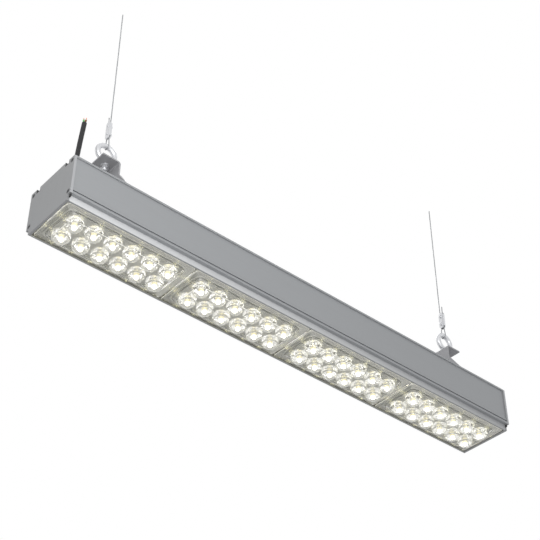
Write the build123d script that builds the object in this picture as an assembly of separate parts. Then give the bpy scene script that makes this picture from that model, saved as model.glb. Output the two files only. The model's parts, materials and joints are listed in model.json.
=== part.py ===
from build123d import *
import math
import os

# Suspended linear LED light: an aluminium extrusion that carries four clear lens plates underneath, closed by
# two end caps and hung by two wire ropes from folded brackets.
# Millimetres. X runs along the housing and is 0 at its middle, Y runs across it and is 0 at its middle, and Z
# is up from the tips of the lens domes.

os.makedirs("parts", exist_ok=True)

# Clearances
SLIP = 0.1  # between parts that slide together
FIT = 0.3  # between a part and the opening that it drops into
THREAD = 0.05  # radial, where a thread is left out

# Lens plates, a common moulding with two rows of six optics
PLATES = 4
RIM_W = 6.2466  # the flat rim past the tray's root, which brings a plate to the common 173 by 71.4
PLATE_GAP = 2.3
PLATE_CORNER = 4.0
RIM_T = 3.0  # the flat rim that is bonded to the housing
PLATE_WALL = 2.8
PLATE_RECESS = 0.3  # the rim's face above the skirt's edge
OPTIC_COLUMNS = 6
OPTIC_ROWS = 2
OPTIC_PITCH = 25.4
DOME_R = 10.5  # the sphere that the dome's corners lie on
DOME_TIP_R = 3.0  # the flat at the dome's tip
DOME_RISE = 5.1  # how far a dome stands out of the tray's face
DOME_SIDES = 12
DOME_BANDS = 4
TRAY_DROP = 7.5  # the tray's face below the skirt's edge
TRAY_MARGIN = 1.0  # the tray's face past its outer domes
TRAY_SPREAD = 6.5  # how far the tray widens up to the rim
TRAY_CORNER = 9.0
POCKET = 5.6  # the square hollow over each LED
POCKET_DEEP = 2.6
OPTIC_OFF_BOARD = 0.4

# Bonded seal between a lens plate and the housing
SEAL_W = 2.4
SEAL_GROOVE = 1.2
SEAL_GAP = 0.9  # between the rim and the housing
SEAL_INSET = 6.0  # the seal's outer edge, in from the plate's edge
SEAL_CORNER = 6.0

# LED boards
BOARD_T = 1.6
BOARD_FIT = 1.5  # between the board and the inside of the tray
CHIP = 3.5
CHIP_T = 1.0

# Housing extrusion
END_GAP = 1.6  # between the last plate and the end cap
SIDE_W = 7.9  # the housing's side, out from the plates' long edge
HOUSING_H = 63.2
SKIRT_T = 2.4
SKIRT_H = 7.8
SKIRT_LEAN = 0.5  # how far the skirt leans out at its root
LIP_T = 3.2
TOP_LIP_T = 2.7
LIP_ROUND = 0.5
GROOVE_H = 2.4
GROOVE_DEPTH = 2.4
SILL_H = 2.6
SILL_SET = 0.8
PANEL_SET = 1.6
WALL = 2.6
TOP_T = 2.4
SHELF_T = 4.0

# T-slots in the top
SLOT_Y = 29.0
SLOT_MOUTH = 7.0
SLOT_LIP_T = 2.0
SLOT_W = 11.6
SLOT_H = 3.6
SLOT_WALL = 1.8

# Screw ports for the end caps
PORT_R = 1.65
PORT_WALL = 1.75
PORT_IN = 5.0  # in from the housing's sides
PORT_LOW = 12.0  # above the skirt's edge
PORT_HIGH = 58.0

# Rails for the gear tray
RAIL_UP = 17.0  # the tray's underside above the skirt's edge
RAIL_REACH = 2.5
RAIL_T = 1.4

# End caps
CAP_T = 3.0
CAP_CORNER = 1.0
NOTCH_W = 6.6
NOTCH_H = 5.0
CAP_SEAL_T = 1.0
CAP_SEAL_INSET = 1.8
CAP_SEAL_W = 8.5
CAP_SCREW_L = 12.0
CAP_HEAD_R = 3.0  # countersunk, flush with the cap
CAP_KEY = 2.5  # across the flats of the socket
CAP_KEY_DEEP = 1.3

# Gear tray, driver and terminal block
GEAR_T = 1.5
GEAR_L = 560.0
DRIVER_L = 300.0
DRIVER_W = 62.0
DRIVER_H = 32.0
DRIVER_X = 40.0
DRIVER_EDGE = 3.0
FOOT_L = 14.0
FOOT_T = 2.5
FOOT_SCREW_Y = 22.0
FOOT_SCREW_R = 2.0
FOOT_HEAD_R = 3.6
FOOT_HEAD_T = 2.4
BLOCK_L = 34.0
BLOCK_W = 24.0
BLOCK_H = 20.0
BLOCK_IN = 40.0  # terminal block in from the tray's end
BLOCK_POLES = 3
BLOCK_HOLE = 5.0

# Cable gland
GLAND_IN = 25.5  # in from the housing's left end, over the end cap
GLAND_R = 7.9
GLAND_FLATS = 19.0
GLAND_HEX_T = 5.0
GLAND_NECK_H = 8.0
GLAND_BORE_R = 4.5
GLAND_CAP_R = 9.2
GLAND_CAP_H = 17.0
GLAND_NUT_T = 4.0
GLAND_SEAL_R = 5.6
GLAND_SEAL_H = 8.4

# Supply cable, a stub that stands up out of the gland, from its inner end to where the sheath is stripped
CABLE_R = 2.95
CABLE_BEND_X = (0.0, 0.0, 2.0, 4.6)  # from the gland's axis
CABLE_BEND_Z = (-6.0, 22.4, 63.6, 104.4)  # from the housing's top
CORE_R = 0.95
CORE_OFF = 1.15
CORE_L = 6.0
CORE_SPLAY = 7.0  # degrees
CORE_TURN = -41.0  # degrees, the way that the live core faces
WIRE_R = 0.45
WIRE_L = 3.0

# Brackets, folded from sheet
EYE_IN = 64.5  # eye bolt in from the housing's ends
SHEET_T = 2.0
FOLD_R = 3.0
BRACKET_H = 56.8
BRACKET_REACH = 25.0
BRACKET_TOP_W = 30.0
BRACKET_FOOT_W = 74.0
BRACKET_FOOT_H = 5.0
BRACKET_NECK = 37.8  # above the housing, where it has narrowed
EYE_TO_WEB = 12.2  # eye bolt to the web's far face
BRACKET_SCREW_R = 2.5
BRACKET_SCREW_L = 7.0
BRACKET_HEAD_R = 4.6
BRACKET_HEAD_T = 3.0
BRACKET_KEY = 4.0
BRACKET_KEY_DEEP = 1.8
SLIDE_NUT_L = 14.0
SLIDE_NUT_T = 3.0

# Eye bolts
RING_R = 11.9
RING_WIRE_R = 3.1
RING_SIDES = 8
RING_LIFT = 16.5  # ring's middle above the bracket
COLLAR_R = 8.0
COLLAR_T = 3.0
NECK_R = 4.5
STUD_R = 3.0
STUD_L = 11.0
NUT_FLATS = 10.0
NUT_T = 5.0

# Wire ropes and their clips
ROPE_R = 0.75
ROPE_TOP = 398.6
TAIL_TOP = 211.4
ROPE_HALF_GAP = 2.3  # each rope from the clip's middle, above the clip
ROPE_PINCH = 2.0  # the same at the clip's foot
ROPE_SETS_OFF = 207.0  # where the standing rope turns upright
ROPE_ON_RING = 0.08  # between the rope and the ring
CLIP_UP = 12.6  # the clip's foot above the ring's crown
CLIP_L = 28.5
CLIP_SHEET = 1.0
CLIP_WRAP = 2.4  # how far the clip's sides stand out of its back
CLIP_SCREW_PITCH = 13.0
CLIP_SCREW_R = 1.25
CLIP_PLATE_T = 1.2
CLIP_HEAD_R = 2.6
CLIP_HEAD_T = 2.2
CLIP_TIP = 0.8  # how far its screws stand out of its back

# Levels, up from the dome tips
TRAY_Z = DOME_RISE
SKIRT_Z = TRAY_Z + TRAY_DROP
RIM_Z = SKIRT_Z + PLATE_RECESS
SHELF_Z = RIM_Z + RIM_T + SEAL_GAP
BOARD_Z = SHELF_Z - BOARD_T
OPTIC_TOP_Z = BOARD_Z - OPTIC_OFF_BOARD
CHAMBER_Z = SHELF_Z + SHELF_T
LIP_Z = SKIRT_Z + SKIRT_H
TOP_Z = SKIRT_Z + HOUSING_H
GEAR_Z = SKIRT_Z + RAIL_UP
NUT_Z = TOP_Z - SLOT_LIP_T - SLIDE_NUT_T
FLANGE_Z = TOP_Z + BRACKET_H
RING_Z = FLANGE_Z + RING_LIFT
CROWN_Z = RING_Z + RING_R
CLIP_Z = CROWN_Z + CLIP_UP

# Lengths and half widths that follow
DOME_MIDDLE_Z = math.sqrt(DOME_R**2 - DOME_TIP_R**2)
DOME_FOOT_R = math.sqrt(DOME_R**2 - (DOME_MIDDLE_Z - DOME_RISE) ** 2)
TRAY_L = (OPTIC_COLUMNS - 1) * OPTIC_PITCH + 2 * (DOME_FOOT_R + TRAY_MARGIN)
TRAY_W = (OPTIC_ROWS - 1) * OPTIC_PITCH + 2 * (DOME_FOOT_R + TRAY_MARGIN)
PLATE_L = TRAY_L + 2 * (TRAY_SPREAD + RIM_W)
PLATE_W = TRAY_W + 2 * (TRAY_SPREAD + RIM_W)
HOUSING_L = PLATES * PLATE_L + (PLATES - 1) * PLATE_GAP + 2 * END_GAP
END_X = HOUSING_L / 2
CAP_X = END_X + CAP_T
HALF_W = PLATE_W / 2 + SIDE_W
SKIRT_IN_Y = PLATE_W / 2 + FIT
SKIRT_OUT_Y = SKIRT_IN_Y + SKIRT_T
PANEL_Y = HALF_W - PANEL_SET
CHAMBER_Y = PANEL_Y - WALL
CHAMBER_TOP_Z = TOP_Z - TOP_T
PORT_Y = HALF_W - PORT_IN
PORT_ZS = (SKIRT_Z + PORT_LOW, SKIRT_Z + PORT_HIGH)
GLAND_X = GLAND_IN - CAP_X
EYE_X = EYE_IN - CAP_X
BLOCK_X = BLOCK_IN - GEAR_L / 2
TRAY_LEAN = math.degrees(math.atan(TRAY_SPREAD / (RIM_Z - TRAY_Z)))
TRAY_WALL_ACROSS = PLATE_WALL / math.cos(math.radians(TRAY_LEAN))
OPENING_L = TRAY_L + 2 * (TRAY_SPREAD - TRAY_WALL_ACROSS)
OPENING_W = TRAY_W + 2 * (TRAY_SPREAD - TRAY_WALL_ACROSS)
OPENING_CORNER = TRAY_CORNER - TRAY_WALL_ACROSS


def block(x, y, z):
    """A box between two values each of x, y and z."""
    size = Box(x[1] - x[0], y[1] - y[0], z[1] - z[0])
    return Pos((x[0] + x[1]) / 2, (y[0] + y[1]) / 2, (z[0] + z[1]) / 2) * size


def post(x, y, z, radius):
    """An upright round bar between two values of z."""
    return Pos(x, y, (z[0] + z[1]) / 2) * Cylinder(radius, z[1] - z[0])


def pin(x, y, z, radius):
    """A round bar along X between two values of x."""
    return Pos((x[0] + x[1]) / 2, y, z) * Rot(0, 90, 0) * Cylinder(radius, x[1] - x[0])


def hexagon(x, y, z, flats):
    """An upright hexagonal bar between two values of z."""
    sketch = Pos(x, y, z[0]) * RegularPolygon(flats / 2, 6, major_radius=False)
    return extrude(sketch, amount=z[1] - z[0])


def both_sides(half):
    """A closed outline in the YZ plane from the points of its +Y half, from the foot up."""
    other = [(-y, z) for y, z in reversed(half)]
    return make_face(Polyline(*half, *other, close=True))


def on_end(sketch, x, amount):
    """A sketch of the YZ plane, extruded along X from the given x."""
    way = (math.copysign(1, amount), 0, 0)
    return extrude(Plane.YZ.offset(x) * sketch, amount=abs(amount), dir=way)


def grid(columns, rows, pitch_x, pitch_y):
    """The places of a pattern of columns and rows about its middle."""
    xs = [(i - (columns - 1) / 2) * pitch_x for i in range(columns)]
    ys = [(j - (rows - 1) / 2) * pitch_y for j in range(rows)]
    return [(x, y) for x in xs for y in ys]


def plate_x(index):
    return (index - (PLATES - 1) / 2) * (PLATE_L + PLATE_GAP)


def optic_places(index):
    return [(plate_x(index) + x, y) for x, y in grid(OPTIC_COLUMNS, OPTIC_ROWS, OPTIC_PITCH, OPTIC_PITCH)]


# Housing
def channel(y):
    """The walls of a T-slot, which stand in the chamber."""
    half = SLOT_W / 2 + SLOT_WALL
    depth = SLOT_LIP_T + SLOT_H + SLOT_WALL
    return Pos(y, TOP_Z - depth / 2) * Rectangle(2 * half, depth)


def housing_section():
    groove_z = LIP_Z + LIP_T
    sill_z = groove_z + GROOVE_H
    outline = both_sides(
        [
            (SKIRT_IN_Y, SHELF_Z),
            (SKIRT_IN_Y, SKIRT_Z),
            (SKIRT_OUT_Y, SKIRT_Z),
            (SKIRT_OUT_Y + SKIRT_LEAN, LIP_Z),
            (HALF_W, LIP_Z),
            (HALF_W, groove_z),
            (HALF_W - GROOVE_DEPTH, groove_z),
            (HALF_W - GROOVE_DEPTH, sill_z),
            (HALF_W - SILL_SET, sill_z),
            (HALF_W - SILL_SET, sill_z + SILL_H),
            (PANEL_Y, sill_z + SILL_H),
            (PANEL_Y, TOP_Z - TOP_LIP_T),
            (HALF_W, TOP_Z - TOP_LIP_T),
            (HALF_W, TOP_Z),
        ]
    )
    outer = [v for v in outline.vertices() if abs(abs(v.X) - HALF_W) < SLIP]
    outline = fillet(outer, LIP_ROUND)
    chamber_h = CHAMBER_TOP_Z - CHAMBER_Z
    chamber = Pos(0, CHAMBER_Z + chamber_h / 2) * Rectangle(2 * CHAMBER_Y, chamber_h)
    for side in (-1, 1):
        chamber -= channel(side * SLOT_Y)
        for z in PORT_ZS:
            chamber -= Pos(side * PORT_Y, z) * Circle(PORT_R + PORT_WALL)
        foot_w = CHAMBER_Y - (PORT_Y - PORT_R - PORT_WALL)
        foot_h = PORT_ZS[0] - CHAMBER_Z
        chamber -= Pos(side * (CHAMBER_Y - foot_w / 2), CHAMBER_Z + foot_h / 2) * Rectangle(foot_w, foot_h)
        for z in (GEAR_Z - SLIP - RAIL_T / 2, GEAR_Z + GEAR_T + SLIP + RAIL_T / 2):
            chamber -= Pos(side * (CHAMBER_Y - RAIL_REACH / 2), z) * Rectangle(RAIL_REACH, RAIL_T)
    section = outline - chamber
    for side in (-1, 1):
        mouth = Pos(side * SLOT_Y, TOP_Z - SLOT_LIP_T / 2) * Rectangle(SLOT_MOUTH, SLOT_LIP_T)
        slot = Pos(side * SLOT_Y, TOP_Z - SLOT_LIP_T - SLOT_H / 2) * Rectangle(SLOT_W, SLOT_H)
        section -= mouth + slot
        for z in PORT_ZS:
            section -= Pos(side * PORT_Y, z) * Circle(PORT_R)
    return section


def housing():
    body = on_end(housing_section(), -END_X, HOUSING_L)
    return body - post(GLAND_X, 0, (CHAMBER_TOP_Z, TOP_Z), GLAND_R + SLIP)


# End caps
def cap_section():
    outline = both_sides(
        [
            (SKIRT_OUT_Y, SKIRT_Z),
            (SKIRT_OUT_Y + SKIRT_LEAN, LIP_Z),
            (HALF_W, LIP_Z),
            (HALF_W, TOP_Z),
        ]
    )
    top = [v for v in outline.vertices() if v.Y > TOP_Z - SLIP]
    outline = fillet(top, CAP_CORNER)
    for side in (-1, 1):
        outline -= Pos(side * SLOT_Y, TOP_Z - NOTCH_H / 2) * Rectangle(NOTCH_W, NOTCH_H)
        for z in PORT_ZS:
            outline -= Pos(side * PORT_Y, z) * Circle(PORT_R + FIT)
    return outline


def seal_section(grow=0.0):
    """The end gasket: a wide ring inside the cap's edge that leaves out the notches."""
    inset = CAP_SEAL_INSET - grow
    low = SHELF_Z - grow
    high = TOP_Z - inset
    half = PANEL_Y - inset + PANEL_SET
    ring = Pos(0, (low + high) / 2) * Rectangle(2 * half, high - low)
    notch = 2 * (CAP_SEAL_INSET - grow)
    for side in (-1, 1):
        ring -= Pos(side * SLOT_Y, TOP_Z - NOTCH_H / 2) * Rectangle(NOTCH_W + notch, NOTCH_H + notch)
        for z in PORT_ZS:
            ring -= Pos(side * PORT_Y, z) * Circle(PORT_R + FIT)
    window_low = low + CAP_SEAL_W + 2 * grow
    window_high = TOP_Z - NOTCH_H - 2 * CAP_SEAL_INSET - grow
    window_half = half - CAP_SEAL_W - 2 * grow
    window = Rectangle(2 * window_half, window_high - window_low)
    return ring - Pos(0, (window_low + window_high) / 2) * window


def cap_screw_places():
    return [(y, z) for y in (-PORT_Y, PORT_Y) for z in PORT_ZS]


def sunk_head(side, y, z, slack):
    """The cone of a countersunk head, with its wide end flush with the cap's face."""
    low = PORT_R - THREAD
    face = Plane((side * CAP_X, y, z), z_dir=(-side, 0, 0))
    return Solid.make_cone(CAP_HEAD_R + slack, low + slack, CAP_HEAD_R - low, face)


def end_cap(side):
    x = side * END_X
    cap = on_end(cap_section(), x, side * CAP_T)
    cap -= on_end(seal_section(grow=SLIP), x, side * CAP_SEAL_T)
    for y, z in cap_screw_places():
        cap -= sunk_head(side, y, z, SLIP)
    return cap


def end_cap_seal(side):
    return on_end(seal_section(), side * END_X, side * CAP_SEAL_T)


def end_cap_screws(side):
    """Countersunk screws with a hexagon socket, one in each port."""
    face, tip = side * CAP_X, side * (CAP_X - CAP_SCREW_L)
    screws = []
    for y, z in cap_screw_places():
        screw = pin(sorted((tip, face)), y, z, PORT_R - THREAD) + sunk_head(side, y, z, 0)
        socket = Pos(y, z) * RegularPolygon(CAP_KEY / 2, 6, major_radius=False)
        screws.append(screw - on_end(socket, face, -side * CAP_KEY_DEEP))
    return screws


# Lens plates
def corners(radius, z):
    """The corners of one level of an optic."""
    turns = [2 * math.pi * i / DOME_SIDES for i in range(DOME_SIDES)]
    return [(radius * math.cos(turn), radius * math.sin(turn), z) for turn in turns]


def facet(points):
    return make_face(Polyline(*points, close=True)).face()


def optic():
    """One dome of flat facets on a straight body, with the pocket over its LED, standing at the origin."""
    tip = math.asin(DOME_TIP_R / DOME_R)
    levels = []
    for band in range(DOME_BANDS + 1):
        angle = tip + (math.pi / 2 - tip) * band / DOME_BANDS
        levels.append(corners(DOME_R * math.sin(angle), DOME_MIDDLE_Z - DOME_R * math.cos(angle)))
    levels.append(corners(DOME_R, OPTIC_TOP_Z))
    facets = [facet(levels[0]), facet(levels[-1])]
    for low, high in zip(levels, levels[1:]):
        for i in range(DOME_SIDES):
            facets.append(facet([low[i - 1], low[i], high[i], high[i - 1]]))
    half = POCKET / 2
    pocket = block((-half, half), (-half, half), (OPTIC_TOP_Z - POCKET_DEEP, OPTIC_TOP_Z))
    return Solid(Shell(facets)) - pocket


def lens_plate(index):
    x = plate_x(index)
    down = Plane((x, 0, RIM_Z), x_dir=(1, 0, 0), z_dir=(0, 0, -1))
    rim = Pos(x, 0, RIM_Z) * RectangleRounded(PLATE_L, PLATE_W, PLATE_CORNER)
    plate = extrude(rim, amount=RIM_T)
    root = RectangleRounded(TRAY_L + 2 * TRAY_SPREAD, TRAY_W + 2 * TRAY_SPREAD, TRAY_CORNER)
    plate += extrude(down * root, amount=RIM_Z - TRAY_Z, taper=TRAY_LEAN)
    opening = RectangleRounded(OPENING_L, OPENING_W, OPENING_CORNER)
    plate -= extrude(down * opening, amount=RIM_Z - TRAY_Z - PLATE_WALL, taper=TRAY_LEAN)
    plate -= extrude(down * opening, amount=-RIM_T)
    shape = optic()
    plate += [Pos(place[0], place[1], 0) * shape for place in optic_places(index)]
    return plate - seal_ring(index, SLIP, SEAL_GROOVE)


def seal_ring(index, slip, height):
    """The ring that the bonded seal fills in the rim's upper face, as high as given."""
    outer_l = PLATE_L - 2 * SEAL_INSET
    outer_w = PLATE_W - 2 * SEAL_INSET
    outer = RectangleRounded(outer_l + 2 * slip, outer_w + 2 * slip, SEAL_CORNER + slip)
    width = SEAL_W + slip
    inner = RectangleRounded(outer_l - 2 * width, outer_w - 2 * width, SEAL_CORNER - width)
    return extrude(Pos(plate_x(index), 0, RIM_Z + RIM_T - SEAL_GROOVE) * (outer - inner), amount=height)


def lens_seal(index):
    return seal_ring(index, 0, SEAL_GROOVE + SEAL_GAP)


def led_board(index):
    length = OPENING_L - 2 * BOARD_FIT
    width = OPENING_W - 2 * BOARD_FIT
    outline = RectangleRounded(length, width, OPENING_CORNER - BOARD_FIT)
    return extrude(Pos(plate_x(index), 0, BOARD_Z) * outline, amount=BOARD_T)


def led_chips(index):
    return [Pos(x, y, BOARD_Z - CHIP_T / 2) * Box(CHIP, CHIP, CHIP_T) for x, y in optic_places(index)]


# Gear inside the housing
def gear_tray():
    half = CHAMBER_Y - SLIP
    tray = block((-GEAR_L / 2, GEAR_L / 2), (-half, half), (GEAR_Z, GEAR_Z + GEAR_T))
    for x, y in driver_screw_places():
        tray -= post(x, y, (GEAR_Z, GEAR_Z + GEAR_T), FOOT_SCREW_R + THREAD)
    return tray


def driver_screw_places():
    x = (DRIVER_L + FOOT_L) / 2
    return [(DRIVER_X + sx * x, sy * FOOT_SCREW_Y) for sx in (-1, 1) for sy in (-1, 1)]


def driver():
    """A sealed case with a screwed foot at each end."""
    z = GEAR_Z + GEAR_T
    case = Pos(DRIVER_X, 0, z + DRIVER_H / 2) * Box(DRIVER_L, DRIVER_W, DRIVER_H)
    case = chamfer(case.edges().filter_by(Axis.X).group_by(Axis.Z)[-1], DRIVER_EDGE)
    reach = DRIVER_L / 2 + FOOT_L
    case += block((DRIVER_X - reach, DRIVER_X + reach), (-DRIVER_W / 2, DRIVER_W / 2), (z, z + FOOT_T))
    for x, y in driver_screw_places():
        case -= post(x, y, (z, z + FOOT_T), FOOT_SCREW_R + SLIP)
    return case


def driver_screws():
    foot = GEAR_Z + GEAR_T + FOOT_T
    screws = []
    for x, y in driver_screw_places():
        screw = post(x, y, (GEAR_Z, foot), FOOT_SCREW_R)
        screws.append(screw + post(x, y, (foot, foot + FOOT_HEAD_T), FOOT_HEAD_R))
    return screws


def terminal_block():
    z = GEAR_Z + GEAR_T
    body = block((BLOCK_X - BLOCK_L / 2, BLOCK_X + BLOCK_L / 2), (-BLOCK_W / 2, BLOCK_W / 2), (z, z + BLOCK_H))
    pitch = BLOCK_W / BLOCK_POLES
    for pole in range(BLOCK_POLES):
        y = (pole - (BLOCK_POLES - 1) / 2) * pitch
        for side in (-1, 1):
            low, high = sorted((BLOCK_X + side * BLOCK_L / 2, BLOCK_X + side * BLOCK_L / 4))
            half = BLOCK_HOLE / 2
            body -= block((low, high), (y - half, y + half), (z + BLOCK_H / 4, z + BLOCK_H / 4 + BLOCK_HOLE))
    return body


# Cable gland
def gland_body():
    low = CHAMBER_TOP_Z - GLAND_NUT_T - SHEET_T
    neck = TOP_Z + GLAND_HEX_T
    top = neck + GLAND_NECK_H
    body = post(GLAND_X, 0, (low, TOP_Z), GLAND_R)
    body += hexagon(GLAND_X, 0, (TOP_Z, neck), GLAND_FLATS)
    body += post(GLAND_X, 0, (neck, top), GLAND_R - THREAD)
    body -= post(GLAND_X, 0, (low, top), GLAND_BORE_R)
    return body - post(GLAND_X, 0, (TOP_Z + THREAD, top), GLAND_SEAL_R + SLIP)


def gland_nut():
    z = (CHAMBER_TOP_Z - GLAND_NUT_T, CHAMBER_TOP_Z)
    return hexagon(GLAND_X, 0, z, GLAND_FLATS) - post(GLAND_X, 0, z, GLAND_R + THREAD)


def gland_seal():
    low = TOP_Z + GLAND_HEX_T
    z = (low, low + GLAND_SEAL_H)
    return post(GLAND_X, 0, z, GLAND_SEAL_R) - post(GLAND_X, 0, z, CABLE_R + THREAD)


def gland_cap():
    low = TOP_Z + GLAND_HEX_T
    top = low + GLAND_CAP_H
    cap = post(GLAND_X, 0, (low, top), GLAND_CAP_R)
    cap = chamfer(cap.edges().group_by(Axis.Z)[-1], GLAND_CAP_R / 3)
    cap -= post(GLAND_X, 0, (low, low + GLAND_SEAL_H + THREAD), GLAND_R)
    return cap - post(GLAND_X, 0, (low, top), CABLE_R + FIT)


# Supply cable
def bend_radii(points):
    """Arcs as large as their two runs allow."""
    radii = []
    for a, b, c in zip(points, points[1:], points[2:]):
        before, after = b - a, c - b
        turn = math.radians(before.get_angle(after))
        radii.append(0.45 * min(before.length, after.length) / math.tan(turn / 2))
    return radii


def round_bar(path, radius):
    start = Plane(origin=path @ 0, z_dir=path % 0)
    return sweep(start * Circle(radius), path=path)


def cable_points():
    return [Vector(GLAND_X + x, 0, TOP_Z + z) for x, z in zip(CABLE_BEND_X, CABLE_BEND_Z)]


def supply_cable():
    points = cable_points()
    radii = bend_radii(points)
    path = FilletPolyline(*points, radius=radii)
    cable = round_bar(path, CABLE_R)
    print("cable radii", [round(r) for r in radii], "length", round(path.length, 1))
    print("cable volume", round(cable.volume), "section times length", round(math.pi * CABLE_R**2 * path.length))
    return cable


def core_places():
    """Where each core leaves the sheath, as a plane along it."""
    before, end = cable_points()[-2:]
    turn = math.radians(CORE_TURN)
    face = Plane(end, x_dir=(math.cos(turn), math.sin(turn), 0), z_dir=end - before)
    planes = []
    for angle in (210, 330, 90):
        out = Pos(CORE_OFF * math.cos(math.radians(angle)), CORE_OFF * math.sin(math.radians(angle)), SLIP)
        planes.append(face * out * Rot(0, 0, angle) * Rot(0, CORE_SPLAY, 0))
    return planes


def core(number):
    return core_places()[number] * Pos(0, 0, SLIP + CORE_L / 2) * Cylinder(CORE_R, CORE_L)


def bare_wires():
    return [p * Pos(0, 0, SLIP + CORE_L + WIRE_L / 2) * Cylinder(WIRE_R, WIRE_L) for p in core_places()]


# Suspension, drawn at the left end
def bracket():
    """A sheet folded into a C, wide at its foot and narrow at its top."""
    web = EYE_X + EYE_TO_WEB - SHEET_T / 2
    free = EYE_X + EYE_TO_WEB - BRACKET_REACH
    low = TOP_Z + SHEET_T / 2
    high = FLANGE_Z - SHEET_T / 2
    fold = FilletPolyline((free, low), (web, low), (web, high), (free, high), radius=FOLD_R)
    sheet = extrude(Plane.XZ * trace(fold, SHEET_T), amount=BRACKET_FOOT_W / 2, both=True)
    front = both_sides(
        [
            (BRACKET_FOOT_W / 2, TOP_Z),
            (BRACKET_FOOT_W / 2, TOP_Z + BRACKET_FOOT_H),
            (BRACKET_TOP_W / 2, TOP_Z + BRACKET_NECK),
            (BRACKET_TOP_W / 2, FLANGE_Z),
        ]
    )
    sheet &= on_end(front, free, BRACKET_REACH)
    sheet -= post(EYE_X, 0, (FLANGE_Z - SHEET_T, FLANGE_Z), STUD_R + FIT)
    for y in (-SLOT_Y, SLOT_Y):
        sheet -= post(EYE_X, y, (TOP_Z, TOP_Z + SHEET_T), BRACKET_SCREW_R + FIT)
    return sheet


def bracket_screws():
    seat = TOP_Z + SHEET_T
    top = seat + BRACKET_HEAD_T
    screws = []
    for y in (-SLOT_Y, SLOT_Y):
        screw = post(EYE_X, y, (seat - BRACKET_SCREW_L, seat), BRACKET_SCREW_R)
        screw += post(EYE_X, y, (seat, top), BRACKET_HEAD_R)
        screws.append(screw - hexagon(EYE_X, y, (top - BRACKET_KEY_DEEP, top), BRACKET_KEY))
    return screws


def slide_nuts():
    half_w = SLOT_W / 2 - FIT
    x = (EYE_X - SLIDE_NUT_L / 2, EYE_X + SLIDE_NUT_L / 2)
    z = (NUT_Z, NUT_Z + SLIDE_NUT_T)
    nuts = []
    for y in (-SLOT_Y, SLOT_Y):
        nut = block(x, (y - half_w, y + half_w), z)
        nuts.append(nut - post(EYE_X, y, z, BRACKET_SCREW_R + THREAD))
    return nuts


def eye_bolt():
    wire = Pos(RING_R, 0) * Rot(0, 0, 180 / RING_SIDES) * RegularPolygon(RING_WIRE_R, RING_SIDES)
    ring = Pos(EYE_X, 0, RING_Z) * revolve(wire, Axis.Y)
    ring += post(EYE_X, 0, (FLANGE_Z, RING_Z - RING_R), NECK_R)
    ring += post(EYE_X, 0, (FLANGE_Z, FLANGE_Z + COLLAR_T), COLLAR_R)
    return ring + post(EYE_X, 0, (FLANGE_Z - STUD_L, FLANGE_Z), STUD_R)


def eye_nut():
    z = (FLANGE_Z - SHEET_T - NUT_T, FLANGE_Z - SHEET_T)
    return hexagon(EYE_X, 0, z, NUT_FLATS) - post(EYE_X, 0, z, STUD_R + THREAD)


def rope():
    """Up from the clip's tail, down round the ring and up to the free end, as one wire."""
    round_r = RING_WIRE_R + ROPE_R + ROPE_ON_RING
    low = CROWN_Z - round_r
    lean = math.atan((round_r - ROPE_PINCH) / (CLIP_Z - CROWN_Z))
    wide = round_r * math.tan((math.pi / 2 + lean) / 2) + SLIP
    gap, pinch = ROPE_HALF_GAP, ROPE_PINCH
    points = [
        (-gap, ROPE_TOP),
        (-gap, ROPE_SETS_OFF),
        (-pinch, CLIP_Z),
        (-wide, low),
        (wide, low),
        (pinch, CLIP_Z),
        (gap, TAIL_TOP),
    ]
    points = [Vector(EYE_X, y, z) for y, z in points]
    easy = bend_radii(points)
    radii = [easy[0], easy[1], round_r, round_r, easy[4]]
    path = FilletPolyline(*points, radius=radii)
    wire = round_bar(path, ROPE_R)
    print("rope points", [(round(p.Y, 2), round(p.Z, 2)) for p in points])
    print("rope radii", [round(r, 1) for r in radii], "length", round(path.length, 1))
    print("rope volume", round(wire.volume, 1), "section times length", round(math.pi * ROPE_R**2 * path.length, 1))
    return wire


CLIP_BACK_X = EYE_X - ROPE_R - THREAD
CLIP_FRONT_X = EYE_X + ROPE_R + THREAD
CLIP_HALF_W = ROPE_HALF_GAP + ROPE_R + SLIP + CLIP_SHEET
CLIP_MID_Z = CLIP_Z + CLIP_L / 2
CLIP_SCREW_ZS = (CLIP_MID_Z - CLIP_SCREW_PITCH / 2, CLIP_MID_Z + CLIP_SCREW_PITCH / 2)


def clip_sheet(x, width, length, thickness):
    """An upright sheet with round ends, from the given x towards +X, with holes for both screws."""
    outline = RectangleRounded(width, length, width / 2 - SLIP)
    sheet = on_end(Pos(0, CLIP_MID_Z) * outline, x, thickness)
    for z in CLIP_SCREW_ZS:
        sheet -= pin((x, x + thickness), 0, z, CLIP_SCREW_R + THREAD)
    return sheet


def clip_back():
    """The clip's channel: a back with round ends and two straight sides that hold the ropes."""
    back = clip_sheet(CLIP_BACK_X - CLIP_SHEET, 2 * CLIP_HALF_W, CLIP_L, CLIP_SHEET)
    z = (CLIP_Z + CLIP_HALF_W, CLIP_Z + CLIP_L - CLIP_HALF_W)
    for side in (-1, 1):
        y = sorted((side * CLIP_HALF_W, side * (CLIP_HALF_W - CLIP_SHEET)))
        back += block((CLIP_BACK_X - CLIP_SHEET, CLIP_BACK_X + CLIP_WRAP), y, z)
    return back


def clip_plate():
    width = 2 * (CLIP_HALF_W - CLIP_SHEET - SLIP)
    return clip_sheet(CLIP_FRONT_X, width, CLIP_L - 2 * CLIP_SHEET, CLIP_PLATE_T)


def clip_screws():
    front = CLIP_FRONT_X + CLIP_PLATE_T
    tip = CLIP_BACK_X - CLIP_SHEET - CLIP_TIP
    screws = []
    for z in CLIP_SCREW_ZS:
        screw = pin((tip, front), 0, z, CLIP_SCREW_R)
        screws.append(screw + pin((front, front + CLIP_HEAD_T), 0, z, CLIP_HEAD_R))
    return screws


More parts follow.
